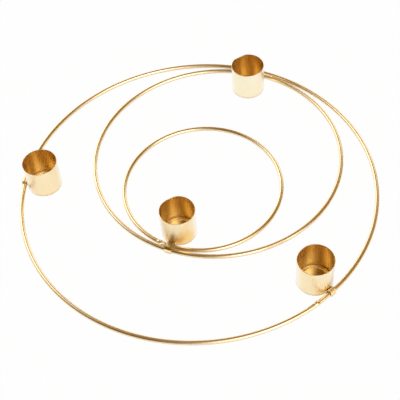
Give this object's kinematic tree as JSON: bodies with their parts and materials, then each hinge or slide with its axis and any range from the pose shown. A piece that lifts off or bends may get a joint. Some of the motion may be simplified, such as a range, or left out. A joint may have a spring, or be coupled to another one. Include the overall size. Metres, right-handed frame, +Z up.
{
  "type": "advent candle holder",
  "caption": "Low candle holder of round wire hoops that lie flat inside each other and touch, with open sheet-metal cups for candles strapped to the hoops.",
  "frame": {"origin": "on the table, below the centre of the outer hoop", "axes": "+Z up; +X to the right and +Y away, seen from the front, with the near cup at the lower right"},
  "size_m": [0.253, 0.253, 0.0235],
  "materials": {
    "hoop_wire": "polished gold-coloured round wire",
    "cup_sheet": "satin gold-coloured sheet",
    "floor_sheet": "satin gold-coloured sheet",
    "strap_sheet": "satin gold-coloured strip",
    "filler_metal": "bright filler metal, as it flowed"
  },
  "bodies": {
    "root": {"outer_hoop": "hoop_wire", "middle_hoop": "hoop_wire", "inner_hoop": "hoop_wire", "outer_hoop_weld": "filler_metal", "middle_hoop_weld": "filler_metal", "inner_hoop_weld": "filler_metal", "left_cup": "cup_sheet", "far_cup": "cup_sheet", "centre_cup": "cup_sheet", "near_cup": "cup_sheet", "left_floor": "floor_sheet", "far_floor": "floor_sheet", "centre_floor": "floor_sheet", "near_floor": "floor_sheet", "left_strap": "strap_sheet", "far_strap": "strap_sheet", "centre_strap": "strap_sheet", "near_strap": "strap_sheet", "left_strap_braze": "filler_metal", "far_strap_braze": "filler_metal", "centre_strap_braze": "filler_metal", "near_strap_braze": "filler_metal", "far_hoop_braze": "filler_metal", "centre_hoop_braze": "filler_metal"}
  },
  "joints": []
}
